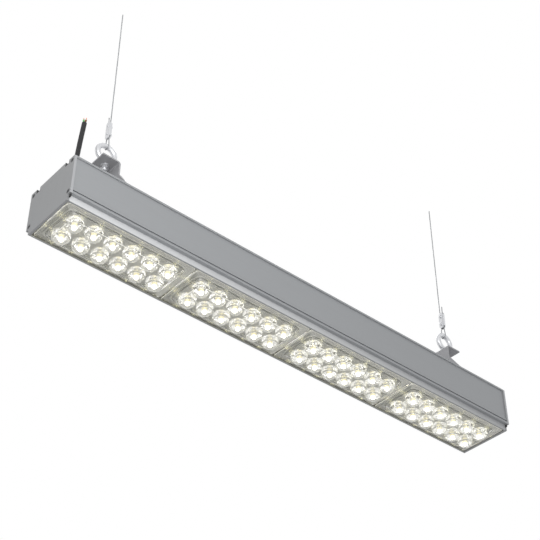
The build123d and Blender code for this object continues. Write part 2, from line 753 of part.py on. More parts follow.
def turned(shape):
    """The same piece at the right end, turned half a turn about Z."""
    if isinstance(shape, list):
        return [Rot(0, 0, 180) * s for s in shape]
    return Rot(0, 0, 180) * shape


def write(name, shape):
    solids = shape if isinstance(shape, list) else [shape]
    solids = [s for piece in solids for s in piece.solids()]
    export_step(solids[0] if len(solids) == 1 else Compound(solids), f"parts/{name}.step")


write("housing", housing())
for end, side in (("left", -1), ("right", 1)):
    write(f"end_cap_{end}", end_cap(side))
    write(f"end_cap_seal_{end}", end_cap_seal(side))
    write(f"end_cap_screws_{end}", end_cap_screws(side))

for index in range(PLATES):
    write(f"lens_plate_{index + 1}", lens_plate(index))
    write(f"lens_seal_{index + 1}", lens_seal(index))
    write(f"led_board_{index + 1}", led_board(index))
    write(f"led_chips_{index + 1}", led_chips(index))

write("gear_tray", gear_tray())
write("driver", driver())
write("driver_screws", driver_screws())
write("terminal_block", terminal_block())

write("gland_body", gland_body())
write("gland_nut", gland_nut())
write("gland_seal", gland_seal())
write("gland_cap", gland_cap())
write("supply_cable", supply_cable())
for number, name in enumerate(("earth", "live", "neutral")):
    write(f"core_{name}", core(number))
write("bare_wires", bare_wires())

suspension = {
    "bracket": bracket,
    "bracket_screws": bracket_screws,
    "slide_nuts": slide_nuts,
    "eye_bolt": eye_bolt,
    "eye_nut": eye_nut,
    "rope": rope,
    "clip_back": clip_back,
    "clip_plate": clip_plate,
    "clip_screws": clip_screws,
}
for name, make in suspension.items():
    piece = make()
    write(f"{name}_left", piece)
    write(f"{name}_right", turned(piece))
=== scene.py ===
# %% [markdown]
# A suspended linear LED light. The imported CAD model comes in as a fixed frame, and this file gives it its looks.
# Most metal pieces keep their CAD solid and get a finish. Where the look depends on smooth glass or fine shapes,
# the pieces are modelled again: the clear lens plates, the LEDs, the ring bolts and their nuts, the clips' screws,
# the wire ropes, the supply cable with its cores, and the cap of its gland.

# %% Load the frame
import math

import json

import bmesh
import bpy
from mathutils import Matrix, Vector


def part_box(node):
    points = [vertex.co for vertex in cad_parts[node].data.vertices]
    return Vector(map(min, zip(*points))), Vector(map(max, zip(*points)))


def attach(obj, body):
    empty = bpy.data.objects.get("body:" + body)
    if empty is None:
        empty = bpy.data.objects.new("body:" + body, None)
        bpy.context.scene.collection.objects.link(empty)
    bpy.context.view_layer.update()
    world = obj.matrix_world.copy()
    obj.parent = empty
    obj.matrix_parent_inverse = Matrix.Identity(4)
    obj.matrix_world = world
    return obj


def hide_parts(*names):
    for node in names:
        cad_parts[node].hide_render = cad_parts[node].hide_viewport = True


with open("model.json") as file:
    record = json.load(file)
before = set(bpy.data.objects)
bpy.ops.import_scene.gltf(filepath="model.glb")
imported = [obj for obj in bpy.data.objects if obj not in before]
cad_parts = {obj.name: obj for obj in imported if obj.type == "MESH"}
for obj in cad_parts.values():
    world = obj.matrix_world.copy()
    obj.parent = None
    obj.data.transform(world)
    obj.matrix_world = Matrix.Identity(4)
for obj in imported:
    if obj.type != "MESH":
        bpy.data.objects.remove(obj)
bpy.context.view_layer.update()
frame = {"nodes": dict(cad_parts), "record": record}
nodes = frame["nodes"]
bpy.ops.object.select_all(action="DESELECT")

# %% [markdown]
# The camera comes first. The photograph looks up at the light from below and from the left, so the lens plates
# fill most of the view. A long lens at about a metre and a half keeps the housing's edges nearly parallel, and
# the place and the line of sight below were measured from the housing's corners.

# %% Camera
CAMERA_AT = (-0.8438, -0.93442, -0.89394)
LINE_OF_SIGHT = (0.50822, 0.58707, 0.63013)
FOCAL_MM = 84.38
SENSOR_MM = 36.0

camera_data = bpy.data.cameras.new("camera")
camera_data.lens = FOCAL_MM
camera_data.sensor_width = SENSOR_MM
camera = bpy.data.objects.new("camera", camera_data)
bpy.context.scene.collection.objects.link(camera)
camera.location = CAMERA_AT
camera.rotation_mode = "QUATERNION"
camera.rotation_quaternion = Vector(LINE_OF_SIGHT).to_track_quat("-Z", "Y")
bpy.context.scene.camera = camera

# %% [markdown]
# A product picture on white needs two worlds in one. What the camera sees, and what metal and glass mirror, is
# plain white. What lights the matt surfaces is a softer grey, so that the faces keep their own tones. The Light
# Path node picks between the two.

# %% World and view
AMBIENT = 0.52

scene = bpy.context.scene
scene.view_settings.view_transform = "Standard"


def seen_plainly(tree):
    """One on rays from the camera and on those that metal mirrors or glass bends, nought on all others."""
    path = tree.nodes.new("ShaderNodeLightPath")
    share = path.outputs["Is Camera Ray"]
    for ray in ("Is Glossy Ray", "Is Transmission Ray"):
        either = tree.nodes.new("ShaderNodeMath")
        either.operation = "MAXIMUM"
        tree.links.new(share, either.inputs[0])
        tree.links.new(path.outputs[ray], either.inputs[1])
        share = either.outputs[0]
    return share


world = bpy.data.worlds.new("white_studio")
scene.world = world
world.use_nodes = True
world_nodes, world_links = world.node_tree.nodes, world.node_tree.links
world_nodes.clear()
choice = world_nodes.new("ShaderNodeMixShader")
world_links.new(seen_plainly(world.node_tree), choice.inputs[0])
grounds = (((0.97, 0.98, 1.0, 1.0), AMBIENT), ((1.0, 1.0, 1.0, 1.0), 1.0))
for socket, (colour, strength) in zip(choice.inputs[1:], grounds):
    ground = world_nodes.new("ShaderNodeBackground")
    ground.inputs["Color"].default_value = colour
    ground.inputs["Strength"].default_value = strength
    world_links.new(ground.outputs[0], socket)
world_out = world_nodes.new("ShaderNodeOutputWorld")
world_links.new(choice.outputs[0], world_out.inputs["Surface"])

# %% [markdown]
# Large area lamps act as soft boxes. One stands near the camera's left and lights the long side and the end, one
# weak one fills from below, and one above keeps the top from going flat in the other views.

# %% Lamps
MIDDLE = Vector((0.0, 0.0, 0.08))


def soft_box(name, place, size, energy):
    """An area lamp at a place, facing the middle of the light."""
    lamp = bpy.data.lights.new(name, "AREA")
    lamp.size = size
    lamp.energy = energy
    holder = bpy.data.objects.new(name, lamp)
    holder.location = place
    holder.rotation_mode = "QUATERNION"
    holder.rotation_quaternion = (MIDDLE - Vector(place)).to_track_quat("-Z", "Y")
    scene.collection.objects.link(holder)
    return holder


soft_box("key_lamp", (-0.75, -0.8, 0.05), 0.6, 4.8)
soft_box("low_lamp", (-0.7, -0.8, -1.1), 0.8, 4.0)
soft_box("top_lamp", (0.6, 0.9, 1.6), 1.2, 12.0)

# %% [markdown]
# The light hangs, so the floor lies far below it and out of the picture. It is pale, and it only sends a little
# soft light back up.

# %% Floor
FLOOR_Z = -2.3
FLOOR_SIZE = 24.0

bpy.ops.mesh.primitive_plane_add(size=FLOOR_SIZE, location=(0.0, 0.0, FLOOR_Z))
floor = bpy.context.object
floor.name = "floor"
bpy.ops.object.transform_apply(location=True, rotation=True, scale=True)

# %% [markdown]
# Every finish starts as a Principled shader. Real surfaces vary a little, so most finishes mix two close colours
# by a noise on Object coordinates and lift a fine bump from the same or another noise. These helpers keep the
# finishes short. Uniform numbers stay on the shader's own sockets.


# %% Helpers for finishes
HAIR = 0.0001  # a hair's breadth, for tests beside an edge


def srgb(red, green, blue):
    """A colour as read from a picture, 0 to 255, made linear."""
    out = []
    for value in (red, green, blue):
        share = value / 255
        out.append(share / 12.92 if share <= 0.04045 else ((share + 0.055) / 1.055) ** 2.4)
    return (*out, 1.0)


class Finish:
    """A material with its Principled shader and a few ways to vary it."""

    def __init__(self, name, colour, roughness, metallic=0.0):
        self.material = bpy.data.materials.new(name)
        self.material.use_nodes = True
        self.nodes = self.material.node_tree.nodes
        self.links = self.material.node_tree.links
        self.shader = self.nodes["Principled BSDF"]
        self.colour = colour
        self.shader.inputs["Base Color"].default_value = colour
        self.shader.inputs["Roughness"].default_value = roughness
        self.shader.inputs["Metallic"].default_value = metallic

    def coordinates(self, stretch=(1.0, 1.0, 1.0)):
        place = self.nodes.new("ShaderNodeTexCoord")
        mapping = self.nodes.new("ShaderNodeMapping")
        mapping.inputs["Scale"].default_value = stretch
        self.links.new(place.outputs["Object"], mapping.inputs["Vector"])
        return mapping.outputs["Vector"]

    def noise(self, scale, stretch=(1.0, 1.0, 1.0), detail=4.0):
        noise = self.nodes.new("ShaderNodeTexNoise")
        noise.inputs["Scale"].default_value = scale
        noise.inputs["Detail"].default_value = detail
        self.links.new(self.coordinates(stretch), noise.inputs["Vector"])
        return noise.outputs["Fac"]

    def mix(self, factor, first, second):
        """Two colours mixed by a factor; either may be a socket."""
        mix = self.nodes.new("ShaderNodeMix")
        mix.data_type = "RGBA"
        self.links.new(factor, mix.inputs[0])
        for value, socket in ((first, mix.inputs[6]), (second, mix.inputs[7])):
            if isinstance(value, tuple):
                socket.default_value = value
            else:
                self.links.new(value, socket)
        return mix.outputs[2]

    def tint(self, factor, second):
        """The base colour drifts towards a second one by a factor."""
        result = self.mix(factor, self.colour, second)
        self.links.new(result, self.shader.inputs["Base Color"])

    def bump(self, height, strength, distance):
        bump = self.nodes.new("ShaderNodeBump")
        bump.inputs["Strength"].default_value = strength
        bump.inputs["Distance"].default_value = distance
        self.links.new(height, bump.inputs["Height"])
        self.links.new(bump.outputs["Normal"], self.shader.inputs["Normal"])

    def vary_roughness(self, factor, low, high):
        spread = self.nodes.new("ShaderNodeMapRange")
        spread.inputs["To Min"].default_value = low
        spread.inputs["To Max"].default_value = high
        self.links.new(factor, spread.inputs["Value"])
        self.links.new(spread.outputs["Result"], self.shader.inputs["Roughness"])

    def axis(self, letter):
        split = self.nodes.new("ShaderNodeSeparateXYZ")
        self.links.new(self.coordinates(), split.inputs["Vector"])
        return split.outputs[letter]

    def math(self, operation, first, second):
        node = self.nodes.new("ShaderNodeMath")
        node.operation = operation
        for value, socket in ((first, node.inputs[0]), (second, node.inputs[1])):
            if isinstance(value, (int, float)):
                socket.default_value = value
            else:
                self.links.new(value, socket)
        return node.outputs[0]

    def apart(self, value):
        """How far a value is from nought, on either side."""
        return self.math("ABSOLUTE", value, 0.0)


def uneven(name, colours, roughness, scales, bump, metallic=0.0, detail=4.0):
    """A finish that drifts between two colours by one noise and has a bump from a finer one."""
    finish = Finish(name, srgb(*colours[0]), roughness, metallic)
    finish.tint(finish.noise(scales[0]), srgb(*colours[1]))
    finish.bump(finish.noise(scales[1], detail=detail), *bump)
    return finish


def wrapped(finish, value, start, pitch):
    """How far a coordinate is from the nearest of a row of places."""
    place = finish.math("SUBTRACT", value, start - pitch / 2)
    turn = finish.math("FLOORED_MODULO", place, pitch)
    return finish.math("SUBTRACT", turn, pitch / 2)


# %% [markdown]
# The housing is one long extrusion with a matt anodised skin. Drawing aluminium through a die leaves very fine
# lines along its length, so the noise is stretched along X. The narrow skirt below the lip carries a painted
# reflection: a much brighter tone than the panel's, most of all at the left end, falling off to the right as
# painted light. The recess behind the plates is duller, and the T-slots on top get painted shade inside. Masks on
# the height and the width give these tones without cutting the solid.

# %% Housing finish
LIP_Z = 0.0204
SKIRT_Z = 0.0126
SKIRT_IN_Y = 0.0365
END_X = 0.35105
SLOT_Y = 0.029
SLOT_HALF_W = 0.0060
SLOT_MIDDLE_Z = 0.0719
SLOT_HALF_H = 0.0018


def from_slot(finish):
    """How far a point lies, across the housing, from the middle of the nearer T-slot."""
    return finish.apart(wrapped(finish, finish.axis("Y"), SLOT_Y, 2 * SLOT_Y))


anodised = Finish("anodised_extrusion", srgb(160, 162, 165), 0.42, 0.15)
drawn = anodised.noise(900.0, (0.02, 1.0, 1.0))
below_lip = anodised.math("LESS_THAN", anodised.axis("Z"), LIP_Z - HAIR)
above_edge = anodised.math("GREATER_THAN", anodised.axis("Z"), SKIRT_Z + HAIR)
inward = anodised.math("LESS_THAN", anodised.apart(anodised.axis("Y")), SKIRT_IN_Y)
recess = anodised.math("MULTIPLY", below_lip, inward)
skirt_face = anodised.math("MULTIPLY", below_lip, above_edge)
slot_up = anodised.apart(anodised.math("SUBTRACT", anodised.axis("Z"), SLOT_MIDDLE_Z))
slot_shade_mask = anodised.math(
    "MULTIPLY",
    anodised.math("LESS_THAN", from_slot(anodised), SLOT_HALF_W),
    anodised.math("LESS_THAN", slot_up, SLOT_HALF_H),
)
panel_tone = anodised.mix(drawn, srgb(154, 156, 158), srgb(160, 162, 164))
# The skirt's bright tones are a painted reflection, brightest at the left end and falling off along X as painted
# light.
along = anodised.nodes.new("ShaderNodeMapRange")
along.inputs["From Min"].default_value = -END_X
along.inputs["From Max"].default_value = END_X
anodised.links.new(anodised.axis("X"), along.inputs["Value"])
skirt_sheen_left = anodised.mix(drawn, srgb(216, 217, 218), srgb(224, 225, 226))
skirt_sheen_right = anodised.mix(drawn, srgb(176, 177, 178), srgb(184, 185, 186))
skirt_painted_sheen = anodised.mix(along.outputs["Result"], skirt_sheen_left, skirt_sheen_right)
recess_tone = anodised.mix(drawn, srgb(150, 149, 139), srgb(160, 159, 149))
# The near black inside the T-slots is painted shade.
slot_painted_shade = anodised.mix(drawn, srgb(48, 48, 49), srgb(56, 56, 57))
outside = anodised.mix(skirt_face, panel_tone, skirt_painted_sheen)
below = anodised.mix(recess, outside, recess_tone)
anodised.links.new(anodised.mix(slot_shade_mask, below, slot_painted_shade), anodised.shader.inputs["Base Color"])
anodised.vary_roughness(drawn, 0.36, 0.46)
anodised.bump(drawn, 0.12, 0.0002)

# %% [markdown]
# The end caps are sawn from plate. Their long cut edges catch the light, and a mask on the distance from the
# middle paints them lighter, a pale line beside the grey face that is a painted highlight. Another mask paints the
# insides of the notches dark as painted shade, like the painted shade inside the T-slots behind them.

# %% End cap finish
CAP_EDGE_Y = 0.0434
NOTCH_HALF_W = 0.0041
NOTCH_LOW_Z = 0.0698

cap_metal = Finish("anodised_plate", srgb(153, 154, 155), 0.45, 0.15)
cap_grain = cap_metal.noise(700.0, (1.0, 1.0, 0.05))
# The pale line along the cap's long edges is a painted highlight.
cap_edge_highlight = cap_metal.math("GREATER_THAN", cap_metal.apart(cap_metal.axis("Y")), CAP_EDGE_Y)
cap_face_tone = cap_metal.mix(cap_grain, srgb(153, 154, 155), srgb(146, 147, 148))
cap_tone_painted_light = cap_metal.mix(cap_edge_highlight, cap_face_tone, srgb(176, 177, 179))
# The dark inside the notches is painted shade.
notch_shade_mask = cap_metal.math(
    "MULTIPLY",
    cap_metal.math("LESS_THAN", from_slot(cap_metal), NOTCH_HALF_W),
    cap_metal.math("GREATER_THAN", cap_metal.axis("Z"), NOTCH_LOW_Z),
)
cap_tone_painted_light = cap_metal.mix(notch_shade_mask, cap_tone_painted_light, srgb(52, 52, 53))
cap_metal.links.new(cap_tone_painted_light, cap_metal.shader.inputs["Base Color"])
cap_metal.bump(cap_grain, 0.1, 0.0002)

# %% [markdown]
# Powder coat on the brackets has a fine orange peel, and zinc on the screws, nuts and ring bolts is bright with
# a faint cloudy passivation. The end caps' sunk screws are steel given a dark grey tone as painted shade, and the
# sheet inside is galvanised with its spangle.

# %% Bracket and fastener finishes
powder_tones = ((163, 163, 165), (170, 170, 172))
powder = uneven("bracket_powder_coat", powder_tones, 0.5, (60.0, 1800.0), (0.2, 0.0002), 0.1, 2.0)

zinc = Finish("bright_zinc", srgb(226, 226, 228), 0.34, 0.85)
clouds = zinc.noise(260.0)
zinc.tint(clouds, srgb(206, 208, 211))
zinc.vary_roughness(clouds, 0.28, 0.46)

# The dark grey of the end caps' screws is painted shade on plain steel.
screw_shade_tones = ((96, 97, 99), (78, 79, 81))
shaded_screw_steel = uneven("cap_screw_painted_shade", screw_shade_tones, 0.45, (700.0, 1800.0), (0.1, 0.0002), 0.5)

galvanised = Finish("galvanised_sheet", srgb(186, 189, 192), 0.4, 0.8)
spangle = galvanised.nodes.new("ShaderNodeTexVoronoi")
spangle.inputs["Scale"].default_value = 140.0
galvanised.links.new(galvanised.coordinates(), spangle.inputs["Vector"])
galvanised.tint(spangle.outputs["Distance"], srgb(160, 164, 168))
galvanised.vary_roughness(spangle.outputs["Distance"], 0.3, 0.5)

rope_steel = Finish("rope_wire", srgb(186, 187, 189), 0.45, 0.5)
rope_steel.tint(rope_steel.noise(1500.0), srgb(164, 166, 168))

# %% [markdown]
# The rest are plastics, rubber and copper. Each gets the small unevenness that a moulding or an extruded sheath
# has, at its own scale.

# %% Plastic, rubber and copper finishes
polyamide_tones = ((44, 44, 46), (52, 52, 54))
polyamide = uneven("black_polyamide", polyamide_tones, 0.48, (90.0, 2600.0), (0.25, 0.0002), detail=2.0)

sheath = Finish("cable_sheath", srgb(42, 42, 43), 0.62)
sheath.shader.inputs["Specular IOR Level"].default_value = 0.3
rubbed = sheath.noise(900.0, (1.0, 1.0, 0.1))
sheath.tint(rubbed, srgb(52, 52, 53))
sheath.bump(rubbed, 0.15, 0.0002)

rubber_tones = ((38, 38, 39), (50, 50, 51))
black_rubber = uneven("gasket_rubber", rubber_tones, 0.7, (500.0, 2400.0), (0.3, 0.0002))

silicone_tones = ((196, 197, 190), (182, 183, 176))
silicone = uneven("bonding_silicone", silicone_tones, 0.5, (220.0, 500.0), (0.3, 0.0004))

driver_tones = ((228, 228, 225), (218, 218, 214))
driver_paint = uneven("driver_white_paint", driver_tones, 0.4, (40.0, 1400.0), (0.1, 0.0002))

nylon_tones = ((228, 227, 216), (216, 214, 200))
block_nylon = uneven("terminal_block_nylon", nylon_tones, 0.45, (160.0, 1800.0), (0.15, 0.0002))


def insulation(name, *tones):
    return uneven(name, tones, 0.4, (420.0, 1500.0), (0.1, 0.0001))


brown_core = insulation("brown_insulation", (140, 88, 40), (120, 74, 32))
blue_core = insulation("blue_insulation", (60, 96, 168), (50, 82, 148))
earth_core = insulation("earth_insulation", (112, 204, 122), (98, 180, 104))

copper = Finish("bare_copper", srgb(246, 190, 164), 0.35, 0.6)
copper.tint(copper.noise(1200.0), srgb(228, 150, 120))

# %% [markdown]
# The boards carry a pale solder mask with darker copper showing through. Soft bars across the boards draw the
# copper, about one for each column of LEDs.

# %% LED board finish
OPTIC_PITCH = 0.0254
BAR_SCALE = 12.5382  # in the wave texture's own unit

board_mask = Finish("board_solder_mask", srgb(166, 166, 162), 0.4)
wave = board_mask.nodes.new("ShaderNodeTexWave")
wave.inputs["Scale"].default_value = BAR_SCALE
wave.inputs["Distortion"].default_value = 1.5
wave.inputs["Detail"].default_value = 1.0
board_mask.links.new(board_mask.coordinates(), wave.inputs["Vector"])
board_mask.tint(wave.outputs["Fac"], srgb(150, 150, 144))
board_mask.bump(board_mask.noise(900.0), 0.1, 0.0001)

# %% [markdown]
# The lens plates are clear polycarbonate. Real refraction makes the look here: each dome magnifies its LED and
# bends the grey housing and the white room into bright and dark flecks. Shadow rays pass through almost freely,
# so that lamps reach the board as they do through a real clear cover. The moulding is a little milky, and the
# domes carry a faint painted glow of their own. The small bright flecks on the tray's walls are painted glints:
# the peaks of a fine noise glow, more of them in line with a column or a row of LEDs. The thin bevelled edges glow
# as a painted highlight, and the rim's long side faces are painted dark as painted shade.

# %% Clear plastic finishes
CLEAR_IOR = 1.49
DOME_CLEARNESS = 0.85
DOME_GLOW = 0.07
PLATE_PITCH = 0.1753
TRAY_END_X = 0.0745
EDGE_CLEARNESS = 0.35
EDGE_GLOW = 0.35
FLECK_REACH = 0.0075
FLECK_GLOW = 0.6
FLECK_NOISE = 900.0
FLECK_LIFT = 0.16
FLECK_LIMIT = 0.725
WALL_LOW_Z = 0.0056


def clear_plastic(name, clearness):
    """Clear plastic that lets shadow rays through. The less of it is clear, the milkier it is."""
    finish = Finish(name, (0.97, 0.97, 0.96, 1.0), 0.03)
    finish.shader.inputs["Transmission Weight"].default_value = clearness
    finish.shader.inputs["IOR"].default_value = CLEAR_IOR
    pass_light = finish.nodes.new("ShaderNodeBsdfTransparent")
    pass_light.inputs["Color"].default_value = (0.92, 0.92, 0.91, 1.0)
    light_path = finish.nodes.new("ShaderNodeLightPath")
    shadow_mix = finish.nodes.new("ShaderNodeMixShader")
    out = finish.nodes["Material Output"]
    finish.links.new(light_path.outputs["Is Shadow Ray"], shadow_mix.inputs[0])
    finish.links.new(finish.shader.outputs["BSDF"], shadow_mix.inputs[1])
    finish.links.new(pass_light.outputs["BSDF"], shadow_mix.inputs[2])
    finish.links.new(shadow_mix.outputs[0], out.inputs["Surface"])
    return finish


def near(finish, offset, reach):
    """One at a place, falling to nothing at a distance."""
    share = finish.math("SUBTRACT", 1.0, finish.math("DIVIDE", finish.apart(offset), reach))
    return finish.math("MAXIMUM", share, 0.0)


clear = clear_plastic("clear_polycarbonate", 0.96)
clear.bump(clear.noise(180.0, detail=1.0), 0.03, 0.0004)
in_plate = wrapped(clear, clear.axis("X"), PLATE_PITCH / 2, PLATE_PITCH)
column = near(clear, wrapped(clear, in_plate, OPTIC_PITCH / 2, OPTIC_PITCH), FLECK_REACH)
row = near(clear, wrapped(clear, clear.axis("Y"), OPTIC_PITCH / 2, OPTIC_PITCH), FLECK_REACH)
past_end = clear.math("GREATER_THAN", clear.apart(in_plate), TRAY_END_X)
beside = clear.math("MULTIPLY", clear.math("SUBTRACT", 1.0, past_end), column)
lit = clear.math("ADD", beside, clear.math("MULTIPLY", past_end, row))
# The glowing flecks on the tray's walls are painted glints.
specks = clear.math("ADD", clear.noise(FLECK_NOISE, detail=2.0), clear.math("MULTIPLY", lit, FLECK_LIFT))
on_wall = clear.math("GREATER_THAN", clear.axis("Z"), WALL_LOW_Z)
bright = clear.math("MULTIPLY", clear.math("GREATER_THAN", specks, FLECK_LIMIT), on_wall)
clear.links.new(clear.math("MULTIPLY", bright, FLECK_GLOW), clear.shader.inputs["Emission Strength"])
clear.shader.inputs["Emission Color"].default_value = srgb(250, 244, 196)

# The glow on the bevelled edges of the tray and the rim is a painted highlight.
painted_edge_highlight = clear_plastic("clear_edge_painted_highlight", EDGE_CLEARNESS)
painted_edge_highlight.bump(painted_edge_highlight.noise(600.0), 0.3, 0.0004)
painted_edge_highlight.shader.inputs["Emission Color"].default_value = srgb(250, 248, 226)
painted_edge_highlight.shader.inputs["Emission Strength"].default_value = EDGE_GLOW

# The dark tone on the rim's long side faces is painted shade.
rim_side_painted_shade = Finish("rim_side_painted_shade", srgb(104, 103, 88), 0.6)
rim_side_painted_shade.tint(rim_side_painted_shade.noise(600.0), srgb(90, 89, 76))

# The domes' faint emission is a painted glow.
clear_dome = clear_plastic("clear_dome", DOME_CLEARNESS)
clear_dome.bump(clear_dome.noise(260.0, detail=1.0), 0.06, 0.0004)
clear_dome.shader.inputs["Emission Color"].default_value = srgb(255, 252, 240)
clear_dome.shader.inputs["Emission Strength"].default_value = DOME_GLOW

# %% [markdown]
# The LEDs glow. Each is nearly white at its low tip and falls off to a dim yellow above, and its own light is what
# the lens domes spread into their bright hearts.

# %% LED finishes
LED_GLOW = 4.0
GLOW_LOW_Z = 0.0050
GLOW_HIGH_Z = 0.0078

led_dome = Finish("led_phosphor", srgb(250, 240, 196), 0.25)
led_dome.shader.inputs["Emission Strength"].default_value = LED_GLOW
led_height = led_dome.nodes.new("ShaderNodeMapRange")
led_height.inputs["From Min"].default_value = GLOW_LOW_Z
led_height.inputs["From Max"].default_value = GLOW_HIGH_Z
led_dome.links.new(led_dome.axis("Z"), led_height.inputs["Value"])
led_light = led_dome.mix(led_height.outputs["Result"], srgb(255, 252, 236), srgb(60, 56, 36))
led_dome.links.new(led_light, led_dome.shader.inputs["Emission Color"])

led_base = Finish("led_ceramic", srgb(236, 232, 214), 0.4)
led_base.tint(led_base.noise(900.0), srgb(220, 214, 190))

# %% [markdown]
# Now each CAD node that keeps its shape gets its finish. A node's object may have several material slots, so all
# of them are set.

# %% Finishes on the CAD nodes
FINISH_OF = {
    "aluminium_body": anodised,
    "cap_aluminium": cap_metal,
    "clear_plastic": clear,
    "seal_rubber": silicone,
    "gasket": black_rubber,
    "board": board_mask,
    "led": led_dome,
    "bracket_steel": powder,
    "zinc": zinc,
    "rope_steel": rope_steel,
    "gear_steel": galvanised,
    "driver_case": driver_paint,
    "block_plastic": block_nylon,
    "gland_plastic": polyamide,
    "cable_sheath": sheath,
    "core_green": earth_core,
    "core_brown": brown_core,
    "core_blue": blue_core,
    "copper": copper,
}


def dress(obj, *finishes):
    obj.data.materials.clear()
    for finish in finishes:
        obj.data.materials.append(finish.material)


for entry in frame["record"]["subparts"]:
    dress(nodes[entry["node"]], FINISH_OF[entry["material_slot"]])
# The end caps' screws get the steel with painted shade.
for end in ("left", "right"):
    dress(nodes[f"end_cap_screws_{end}"], shaded_screw_steel)

# %% [markdown]
# The floor is painted nearly white. Seen straight, mirrored or through glass, most of its tone comes from a plain
# white glow, as the backdrop of a product picture has, and the rest is lit paint, which keeps the shadow.

# %% Floor finish
FLOOR_SHOWN = 0.8

floor_paint = Finish("floor_paint", srgb(236, 236, 236), 0.6)
floor_paint.tint(floor_paint.noise(3.0), srgb(230, 230, 230))
floor_seen = seen_plainly(floor_paint.material.node_tree)
floor_glow = floor_paint.nodes.new("ShaderNodeEmission")
floor_glow.inputs["Color"].default_value = srgb(248, 248, 248)
floor_mix = floor_paint.nodes.new("ShaderNodeMixShader")
floor_paint.links.new(floor_paint.math("MULTIPLY", floor_seen, FLOOR_SHOWN), floor_mix.inputs[0])
floor_paint.links.new(floor_paint.shader.outputs["BSDF"], floor_mix.inputs[1])
floor_paint.links.new(floor_glow.outputs["Emission"], floor_mix.inputs[2])
floor_paint.links.new(floor_mix.outputs[0], floor_paint.nodes["Material Output"].inputs["Surface"])
dress(floor, floor_paint)

# %% [markdown]
# Next come the helpers for new pieces. Each piece is built from a primitive in metres at its place, and its
# object stays at the origin with its place in the mesh. `own` names it and hides the CAD nodes it stands for.


# %% Helpers for pieces
def alone(piece):
    bpy.ops.object.select_all(action="DESELECT")
    piece.select_set(True)
    bpy.context.view_layer.objects.active = piece


def apply_place(piece):
    alone(piece)
    bpy.ops.object.transform_apply(location=True, rotation=True, scale=True)


def own(piece, name, slot, *replaced):
    """Name a finished piece, put its place into its mesh, and tie it to the frame."""
    apply_place(piece)
    piece.name = name
    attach(piece, "root")
    if replaced:
        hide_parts(*replaced)
    return piece


def select_faces(piece, test):
    """In edit mode, select only the faces whose centre and normal pass a test."""
    bpy.ops.mesh.select_mode(type="FACE")
    mesh = bmesh.from_edit_mesh(piece.data)
    for face in mesh.faces:
        face.select_set(test(face.calc_center_median(), face.normal))
    mesh.select_flush_mode()
    bmesh.update_edit_mesh(piece.data)


def select_edges(piece, test):
    """In edit mode, select only the edges whose two ends pass a test."""
    bpy.ops.mesh.select_mode(type="EDGE")
    mesh = bmesh.from_edit_mesh(piece.data)
    for edge in mesh.edges:
        edge.select_set(test(edge.verts[0].co, edge.verts[1].co))
    mesh.select_flush_mode()
    bmesh.update_edit_mesh(piece.data)


def join(pieces):
    bpy.ops.object.select_all(action="DESELECT")
    for piece in pieces:
        piece.select_set(True)
    bpy.context.view_layer.objects.active = pieces[0]
    bpy.ops.object.join()
    return bpy.context.object


def combine(piece, cutter, operation):
    """A Boolean modifier, applied, that uses up the second piece."""
    cut = piece.modifiers.new("combine", "BOOLEAN")
    cut.operation = operation
    cut.solver = "EXACT"
    cut.object = cutter
    alone(piece)
    bpy.ops.object.modifier_apply(modifier=cut.name)
    bpy.data.objects.remove(cutter)
    return piece


def copied(piece, offset=(0.0, 0.0, 0.0), half_turn=False):
    """A copy with its own mesh, moved in the mesh, and turned half a turn about Z first if asked."""
    twin = piece.copy()
    twin.data = piece.data.copy()
    scene.collection.objects.link(twin)
    if half_turn:
        twin.data.transform(Matrix.Rotation(math.pi, 4, "Z"))
    twin.data.transform(Matrix.Translation(offset))
    return twin


def smooth(piece, degrees=30.0):
    alone(piece)
    bpy.ops.object.shade_smooth_by_angle(angle=math.radians(degrees))


def stepped(radius, z, steps):
    """Points of a profile from pairs: how far in from a radius, and how far up from a height."""
    return [(radius - inward, z + up) for inward, up in steps]


def turned_piece(profile, x=0.0, steps=32):
    """A closed solid spun about an upright axis from radius and height pairs, from the foot up."""
    outline = [(0.0, profile[0][1]), *profile, (0.0, profile[-1][1])]
    mesh = bpy.data.meshes.new("turned")
    mesh.from_pydata([(x + r, 0.0, z) for r, z in outline], [(i, i + 1) for i in range(len(outline) - 1)], [])
    piece = bpy.data.objects.new("turned", mesh)
    scene.collection.objects.link(piece)
    alone(piece)
    bpy.ops.object.mode_set(mode="EDIT")
    bpy.ops.mesh.select_all(action="SELECT")
    bpy.ops.mesh.spin(steps=steps, angle=2 * math.pi, center=(x, 0.0, 0.0), axis=(0.0, 0.0, 1.0))
    bpy.ops.mesh.select_all(action="SELECT")
    bpy.ops.mesh.remove_doubles(threshold=1e-6)
    bpy.ops.mesh.normals_make_consistent(inside=False)
    bpy.ops.object.mode_set(mode="OBJECT")
    return piece


# %% [markdown]
# A lens plate is one clear moulding: a flat rim, a tray that hangs below it on slanted walls, and twelve domes
# under the tray. Three tapered boxes with rounded corners give the rim, the tray and the hollow inside it. Two
# Boolean steps join and hollow them, and a third adds the optics, so that light meets one closed skin.

# %% Lens tray
RIM_SIZE = (0.1730, 0.0714)
TRAY_ROOT = (0.16050, 0.05890)
TRAY_FACE = (0.14750, 0.04590)
HOLLOW_IN_TOP = 0.0017
HOLLOW_IN_LOW = 0.0083
RIM_Z = 0.0129
RIM_TOP_Z = 0.0159
TRAY_Z = 0.0051
TRAY_FLOOR_Z = 0.0079
RIM_CORNER = 0.0040
TRAY_CORNER = 0.0090
HOLLOW_CORNER = 0.0055
EDGE_BEVEL = 0.0004
EDGE_BAND = 0.0045
OVERLAP = 0.0004  # how far the tray reaches into the rim
PAST = 0.0005  # how far a cutter reaches past what it cuts
FACING = 0.9  # how nearly a face looks along an axis


